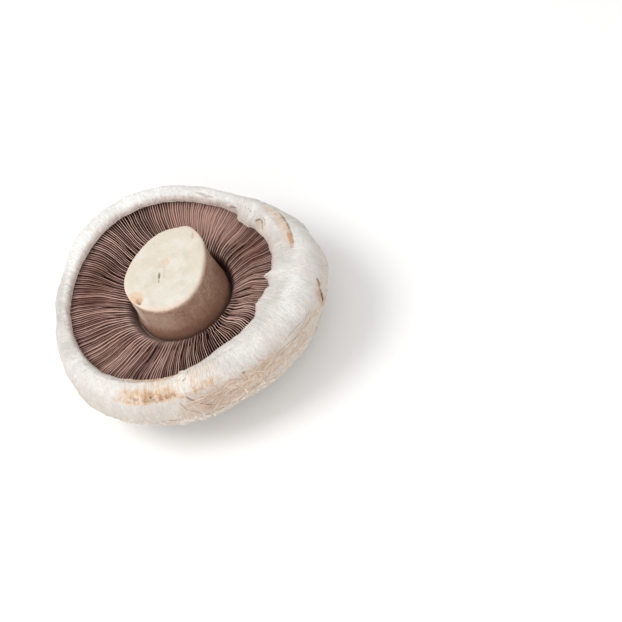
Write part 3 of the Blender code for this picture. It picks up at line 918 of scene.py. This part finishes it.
def buildGills(material):
    plan = gillPlan()
    angle, start, side, tone, lift = (np.array(column)[:, None] for column in zip(*plan))
    run = np.linspace(0, 1, 30)[None, :] ** 1.25  # stations are closer at the inner end
    share = mix(start, 1.012, run)
    pitch = math.tau / gills["count"]
    radius = mix(gills["inner"], gills["outer"], share)
    shareIn = np.clip(share, 0, 1)
    own = xyz(shareIn * 6, 40 * tone, 0.0)
    bend = side * pitch * 0.42 * (1 - smoothStep(run / 0.4)) * (start > 0)
    turn = angle + bend + gillWarp(angle + 0 * share, shareIn) / radius
    turn = turn + gills["sideNoise"] * grain(own, 1.0, 34) / radius
    # the inner end rises from the bed in a round shoulder, short blades more gently
    gone = (share - start) * (gills["outer"] - gills["inner"])
    shoulder = np.where(start > 0, gills["shortShoulder"], gills["shoulder"])
    rise = np.sqrt(np.clip(1 - (1 - np.clip(gone / shoulder, 0, 1)) ** 2, 0, 1))
    depth = grooveDepth(shareIn)
    top = gillTop(shareIn) + gills["liftSpread"] * lift + gills["edgeNoise"] * grain(own, 0.6, 35)
    top = top - depth * (1 - rise)
    top = top - gills["shortDrop"] * (start > 0) * (1 - shareIn)
    base = gillTop(shareIn) - depth - gills["rooted"]
    wave = rimRise(turn, shareIn)
    lean = gillLean(angle + 0 * share, shareIn) * rise
    # cross-section: (side, share of the way up)
    section = ((-1, 0.0), (-1, 0.45), (-0.95, 0.85), (-0.62, 0.975), (0, 1.0),
               (0.62, 0.975), (0.95, 0.85), (1, 0.45), (1, 0.0))
    ends = np.sqrt(np.clip(run / 0.03, 0.05, 1))
    blade, edge = [], []
    for across, up in section:
        half = mix(gills["baseWidth"], gills["edgeWidth"], min(up / 0.8, 1.0)) / 2
        shift = across * half * ends + lean * up**1.5
        x, y = capPlan(radius, turn, shareIn)
        blade.append(xyz(x - np.sin(turn) * shift, y + np.cos(turn) * shift, mix(base, top, up) + wave))
        edge.append(gillTop(shareIn) - mix(base, top, up))  # depth below the line of the edges
    blade = np.stack(blade, axis=2)  # blade, station, section
    edge = np.stack(edge, axis=2)
    bladeCount, stationCount, sectionCount = blade.shape[:3]
    faces = []
    single = np.arange(stationCount * sectionCount).reshape(stationCount, sectionCount)
    following = np.roll(single, -1, axis=1)
    sides = np.stack([single[:-1], following[:-1], following[1:], single[1:]], axis=-1).reshape(-1, 4)
    ends = [single[0][::-1].tolist(), single[-1].tolist()]
    for index in range(bladeCount):
        offset = index * stationCount * sectionCount
        faces += (sides + offset).tolist()
        faces += [[offset + i for i in end] for end in ends]
    points = blade.reshape(-1, 3)
    # the bed that the blades stand on
    bedRun = np.linspace(-0.02, 1.02, 22)
    bedAngle = turnsRound(gills["bedColumns"])
    bedShare = np.concatenate([bedRun, bedRun[::-1]])[:, None]
    shareIn = np.clip(bedShare, 0, 1)
    thick = np.concatenate([0 * bedRun, 0 * bedRun + gills["bedThickness"]])[:, None]
    x, y = capPlan(mix(gills["inner"], gills["outer"], bedShare), bedAngle, shareIn)
    z = gillTop(shareIn) - grooveDepth(shareIn) - thick + rimRise(bedAngle, shareIn)
    bed = xyz(x, y, z)
    bedFaces = np.array(ringFaces(bed.shape[0], bed.shape[1], closed=True)) + len(points)
    faces += bedFaces.tolist()
    obj = meshObject("gillPlates", np.vstack([points, bed.reshape(-1, 3)]), faces, material, 70)
    bedSize = bed.shape[0] * bed.shape[1]
    # the bed takes a depth of 3 mm, so it gets the painted gap shade in full
    setMark(obj, "depth", np.append(edge, np.full(bedSize, 0.003)))
    setMark(obj, "tone", np.append(np.broadcast_to(tone[..., None], edge.shape), np.full(bedSize, 0.5)))
    return obj


# Painted light and shade by place: a band's level is its distance from the axis
gillBands = named(bandKeys, {
    "bright": (62, 50, 0.0330, 0.0135, 0.9),
    "left": (148, 44, 0.0340, 0.0100, 0.9),
    "right": (0, 30, 0.0300, 0.0120, 0.9),
    "trough": (0, 46, 0.0170, 0.0050, 0.9),
    "near": (-105, 75, 0.0290, 0.0130, 0.9),
    "nearTrough": (-140, 80, 0.0190, 0.0045, 0.8),
})


gillLook = {
    "shades": {
        "edge": (0.86, 0.62, 0.53), "face": (0.47, 0.28, 0.230), "deep": (0.075, 0.030, 0.023),
        "plum": (0.43, 0.245, 0.225), "umber": (0.36, 0.225, 0.160), "pale": (0.84, 0.60, 0.52),
        "shade": (0.54, 0.42, 0.39), "hollow": (0.36, 0.25, 0.23), "glint": (0.96, 0.76, 0.67)},
    "clouds": {"plum": (0.016, 0.38, 0.64, 4.0), "umber": (0.007, 0.45, 0.7, 6.0),
               "fuzz": (0.0006, 0.3, 0.7, 3.0)},
    "fibres": {"vein": (900.0, 0.0015, 0.002, 2.0)},
    # the deep colour in the gaps is painted shade, the edge colour partly a painted highlight, and pale over
    # the bright band and glint on the near crests are painted light
    "layers": (("plum", "plum"), ("umber", "umber", 0.6), ("deep", "gap", ("bright", 0.95, 0.50)),
               ("edge", "edge"), ("pale", "bright", 0.66), ("glint", "near", "crest", 0.9)),
    # shades that darken, less on the crests
    "shadows": (("shade", "left", ("crest", 0.90, 0.585)), ("shade", "right", ("crest", 1.0, 0.65)),
                ("hollow", "trough", ("crest", 0.90, 0.585))),
    "lights": (("glint", "nearTrough", ("crest", 0.26, 0.76)),),
    "relief": (("fuzz", 0.5), ("veinStreak", 0.4)),
    "bump": (0.5, 0.00015), "roughness": (0.62, 0.8), "surface": {"Specular IOR Level": 0.28},
}


def gillMaterial():
    material, tree, shader = newMaterial("gillFlesh")
    shades = gillLook["shades"]
    at = place(tree, where)
    depth = mark(tree, "depth")
    masks = {**cloudMasks(tree, gillLook["clouds"]), **bandMasks(tree, gillBands, at, "Radius", 0.3),
             **fibreMasks(tree, gillLook["fibres"], {"vein": at["Height"]})}
    # painted shade: the gap mask darkens the blades' sides down into the gaps and the whole bed; edge puts a
    # paler colour, partly a painted highlight, on the blade tops, and crest carries painted glint
    masks["gap"] = ramp(tree, depth, 0.00014, 0.00110)
    masks["edge"] = ramp(tree, depth, 0.00030, 0.0)
    masks["crest"] = ramp(tree, depth, 0.00020, 0.0)
    colour = paint(tree, shades, masks, shades["face"], gillLook["layers"])
    colour = paint(tree, shades, masks, colour, gillLook["shadows"], "MULTIPLY")
    colour = paint(tree, shades, masks, colour, gillLook["lights"])
    tone = ramp(tree, mark(tree, "tone"), 0, 1, 0.84, 1.14, smooth=False)
    tones = addNode(tree, "ShaderNodeCombineXYZ", {0: tone, 1: tone, 2: tone}).outputs[0]
    colour = tint(tree, 1.0, colour, tones, "MULTIPLY")
    finishLook(tree, shader, masks, gillLook, colour, masks["fuzz"])
    return material


gillPlates = buildGills(gillMaterial())
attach(gillPlates, "root")
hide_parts("gills")
print("gills:", gills["count"], "blades,", len(gillPlates.data.polygons), "faces")


# Stem

# Marks on the cut, as the strokes of the skin; the dark in the slit and in the pit's core and the grey in
# the dip beside the slit are painted shade, the pale on the ridge painted light
stemMarks = named(strokeKeys, {
    "slit": ((-0.0022, 0.0006, 0.0456), (-0.0034, -0.0028, 0.0456), 0.00045, 0.0003, 1.0, "hole"),
    "slitFoot": ((-0.0034, -0.0026, 0.0456), (-0.0040, -0.0044, 0.0457), 0.00040, 0.0002, 0.40, "hole"),
    "slitRidge": ((-0.0006, 0.0012, 0.0456), (-0.0021, -0.0026, 0.0456), 0.0013, -0.00035, 0.6, "cutPale"),
    "slitDip": ((-0.0035, 0.0010, 0.0456), (-0.0046, -0.0024, 0.0456), 0.0020, 0.00030, 0.35, "cutGrey"),
    "slitStain": ((0.0002, 0.0026, 0.0456), (0.0022, 0.0040, 0.0456), 0.0026, 0.00012, 0.42, "peach"),
    "pitRim": ((-0.0146, -0.0026, 0.0459), (-0.0126, -0.0086, 0.0459), 0.0030, 0.00045, 0.70, "peach"),
    "pit": ((-0.0131, -0.0066, 0.0460), (-0.0134, -0.0084, 0.0459), 0.0011, 0.0014, 0.9, "stain"),
    "pitCore": ((-0.0133, -0.0074, 0.0452), (-0.0135, -0.0084, 0.0452), 0.0007, 0.0008, 0.95, "hole"),
    "fold": ((0.0152, 0.0092, 0.0459), (0.0140, 0.0070, 0.0459), 0.0007, 0.0005, 0.4, "peach"),
})
# Painted light and shade on the stem's side: a band's level is its height
stemBands = named(bandKeys, {
    "strip": (-163, 19, 0.0380, 0.0090, 0.9),
    "lit": (-128, 40, 0.0370, 0.0080, 0.9),
    "dim": (8, 52, 0.0320, 0.0100, 0.9),
})


def stemProfile():
    # rows of (radius, height, outline, face): face 1 is the cut, 0 the side
    side = stem["topRadius"]
    foot = cap["height"] - gills["troughDepth"]
    rows = []
    for share in np.linspace(0.02, 0.80, 64):
        dip = stem["dish"] * (1 - share / 0.8) if share > 0.45 else mix(stem["dish"], 0.0003, share / 0.45)
        rows.append((side * share, stemTop - dip, 1, 1))
    rows += [(r, z, o, f) for r, z, o, f in smoothRun([
        (side * 0.78, stemTop, 1, 1), (side * 0.82, stemTop, 1, 1), (side * 0.955, stemTop - 0.0002, 1, 0.9),
        (side * 1.0, stemTop - 0.0011, 1, 0.35), (side * 0.997, stemTop - 0.0026, 0.9, 0.0),
        (side * 0.99, mix(stemTop, foot, 0.3), 0.8, 0.0)], 6)]
    rows += [(r, z, o, 0) for r, z, o in smoothRun([
        (side * 1.0, stemTop - 0.0011, 1), (side * 0.997, stemTop - 0.0026, 0.9),
        (side * 0.99, mix(stemTop, foot, 0.3), 0.8), (side * 0.99, mix(stemTop, foot, 0.6), 0.45),
        (mix(side, stem["radius"], 0.6), mix(stemTop, foot, 0.85), 0.15), (stem["radius"], foot, 0.0),
        (stem["radius"], foot - 0.003, 0.0)], 11)]
    rows += [(stem["radius"], foot, 0, 0), (stem["radius"], stem["root"], 0, 0)]
    return np.array(rows, float)[:, :, None]


def buildStem(material):
    profile = stemProfile()
    radius, height, outline, face = np.moveaxis(profile, 1, 0)
    angle = turnsRound(stem["columns"])
    at, spread, reach = stem["corner"]
    factor = mix(1.0, lobed(angle, stem["topLobes"]), outline)
    factor = factor + outline * reach / stem["topRadius"] * tongue(angle, at, spread)
    x = radius * factor * np.cos(angle) + stem["centre"][0]
    y = radius * factor * np.sin(angle) + stem["centre"][1]
    grid = xyz(x, y, height)
    foot = cap["height"] - gills["troughDepth"]
    above = smoothStep((grid[..., 2] - foot) / 0.004)  # 0 in the trough, 1 where the side is open to view
    normals = gridNormals(grid)
    relief = grains(grid, [stem["sideRelief"]]) * above * (1 - face)
    spun = around(angle, stem["fibreCount"], grid[..., 2] / stem["fibreLength"])
    for high, finer, seed in stem["fibreRelief"]:
        relief += high * grain(spun * finer, 1.0, seed) * above * (1 - face)
    relief += face * grains(grid, stem["cutRelief"])
    edge = smoothStep(1 - np.abs(radius - 0.95 * stem["topRadius"]) / 0.0016) * (face > 0.3)
    relief += edge * grains(grid, [stem["edgeRelief"]])
    for spec in stemMarks.values():
        relief -= spec["depth"] * strokeNear(grid, spec)
    grid = grid + normals * relief[..., None]
    grid[..., 2] = np.minimum(grid[..., 2], stemTop + 0.0003)
    obj = turnedObject("stemStalk", grid[::-1], stem["root"], stemTop - stem["dish"], material)
    obj.data.flip_normals()
    setMark(obj, "cut", np.append((face + 0 * angle)[::-1], (0, 1)))
    ring = smoothStep(1 - np.abs(radius / stem["topRadius"] - 1.0) / 0.10) * smoothStep(
        (height - stemTop + 0.0030) / 0.0016)
    setMark(obj, "rind", np.append((ring + 0 * angle)[::-1], (0, 0)))
    return obj


stemLook = {
    "shades": {
        "cut": (0.66, 0.595, 0.495), "cutPale": (0.70, 0.66, 0.585), "cutGrey": (0.57, 0.535, 0.445),
        "side": (0.47, 0.295, 0.195), "sideDark": (0.26, 0.125, 0.080), "plum": (0.39, 0.225, 0.170),
        "pale": (0.62, 0.46, 0.37), "rind": (0.72, 0.54, 0.43), "stain": (0.52, 0.33, 0.20),
        "peach": (0.68, 0.46, 0.31), "hole": (0.10, 0.050, 0.028), "cream": (0.76, 0.65, 0.54)},
    "clouds": {
        "cutPale": (0.006, 0.4, 0.65, 1.5), "cutGrey": (0.0035, 0.48, 0.70, 2.5),
        "cutCream": (0.0014, 0.5, 0.72, 4.5), "dark": (0.004, 0.45, 0.7, 8.0),
        "pale": (0.0030, 0.50, 0.75, 3.0), "paleFine": (0.0011, 0.45, 0.65, 7.5),
        "rindPatch": (0.0022, 0.35, 0.65, 5.5), "pores": (0.0007, 0.25, 0.75, 9.0)},
    "fibres": {"thread": (300.0, 0.010, 0.004, 6.0)},
    "cut": (("cutPale", "cutPale"), ("cutGrey", "cutGrey", 0.55), ("cream", "cutCream", 0.25)),
    # on the side, the cream strip and the lit patch are painted light, the dim side and the dark towards the
    # foot painted shade
    "side": (("plum", "threadStreak"), ("sideDark", "dark", 0.45), ("pale", "pale", 0.35),
             ("sideDark", "threadLine", 0.45), ("pale", "paleFine", 0.40), ("sideDark", "foot", 0.80),
             ("cream", "strip", 0.95), ("pale", "lit", 0.58), ("sideDark", "dim", 0.75)),
    "rind": (("rind", "rind", ("rindPatch", 0.40, 0.85)),),
    "relief": (("pores", 0.45), ("sideThreads", 1.3)),
    "bump": (0.5, 0.00025), "roughness": (0.85, 0.5),
    "surface": {"Specular IOR Level": 0.22, "Subsurface Weight": 0.15,
                "Subsurface Radius": (1.0, 0.65, 0.4), "Subsurface Scale": 0.0015},
}


def stemMaterial():
    material, tree, shader = newMaterial("stemFlesh")
    shades = stemLook["shades"]
    at = place(tree, where)
    face = mark(tree, "cut")
    masks = {**cloudMasks(tree, stemLook["clouds"]), **bandMasks(tree, stemBands, at, "Height", 0.5),
             **fibreMasks(tree, stemLook["fibres"], {"thread": at["Height"]})}
    # painted shade: darker down the side towards the trough
    masks["foot"] = ramp(tree, at["Height"], 0.0400, 0.0290)
    masks["rind"] = mark(tree, "rind")
    masks["sideThreads"] = times(tree, masks["threadFine"], ramp(tree, face, 0.6, 0.1))
    cut = paint(tree, shades, masks, shades["cut"], stemLook["cut"])
    side = paint(tree, shades, masks, shades["side"], stemLook["side"])
    colour = tint(tree, ramp(tree, face, 0.05, 0.6), side, cut)
    colour = paint(tree, shades, masks, colour, stemLook["rind"])
    colour = drawn(tree, shades, colour, reversed(stemMarks.values()), 0.0)
    finishLook(tree, shader, masks, stemLook, colour, face)
    return material


stemStalk = buildStem(stemMaterial())
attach(stemStalk, "root")
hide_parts("stem")
print("stem:", len(stemStalk.data.polygons), "faces")


# Floor, light and camera

studio = {
    "floorColour": (0.92, 0.915, 0.91), "floorShade": (0.89, 0.885, 0.88), "floorSize": 3.0, "world": 0.77,
    "keySize": 0.50, "keyPower": 3.8, "keyPlace": (-0.42, 0.06, 0.82),
    "fillSize": 0.70, "fillPower": 2.0, "fillPlace": (-0.20, -0.80, 0.50), "lightAim": (0, 0, 0.02),
}


def floorMaterial():
    material, tree, shader = newMaterial("paleFloor")
    cloud = cloudMasks(tree, {"cloud": (0.25, 0.3, 0.7, 1.0)})["cloud"]
    feedAll(tree, shader, {"Base Color": tint(tree, cloud, studio["floorColour"], studio["floorShade"]),
                           "Roughness": 0.85, "Specular IOR Level": 0.1})
    return material


def areaLight(name, size, power, spot):
    light = bpy.data.lights.new(name, "AREA")
    light.shape = "DISK"
    light.size = size
    light.energy = power
    obj = bpy.data.objects.new(name, light)
    obj.location = spot
    obj.rotation_euler = (Vector(studio["lightAim"]) - Vector(spot)).to_track_quat("-Z", "Y").to_euler()
    bpy.context.scene.collection.objects.link(obj)


half = studio["floorSize"] / 2
corners = ((-half, -half), (half, -half), (half, half), (-half, half))
floorPoints = np.array([(x, y, -0.00005) for x, y in corners])
floor = meshObject("floor", floorPoints, [(0, 1, 2, 3)], floorMaterial())
areaLight("keyLight", studio["keySize"], studio["keyPower"], studio["keyPlace"])
areaLight("fillLight", studio["fillSize"], studio["fillPower"], studio["fillPlace"])
world = bpy.data.worlds.new("studio")
world.use_nodes = True
feedAll(world.node_tree, world.node_tree.nodes["Background"], {
    "Color": (1.0, 1.0, 1.0, 1.0), "Strength": studio["world"]})
bpy.context.scene.world = world
bpy.context.scene.view_settings.view_transform = "Standard"

view = {
    "frameWidth": 622, "focalPixels": 1948.6, "place": (0.03901816, -0.46597469, 0.56139283),
    "right": (0.88294759, -0.36484793, -0.29544803), "up": (0.46947156, 0.68617916, 0.55565692),
}
right, up = Vector(view["right"]), Vector(view["up"])
back = right.cross(up)
camera = bpy.data.objects.new("camera", bpy.data.cameras.new("camera"))
camera.data.sensor_width = 36
camera.data.lens = 36 * view["focalPixels"] / view["frameWidth"]
camera.data.clip_start = 0.05
camera.matrix_world = Matrix((right, up, back)).transposed().to_4x4()
camera.location = view["place"]
bpy.context.scene.collection.objects.link(camera)
bpy.context.scene.camera = camera
print("studio set")
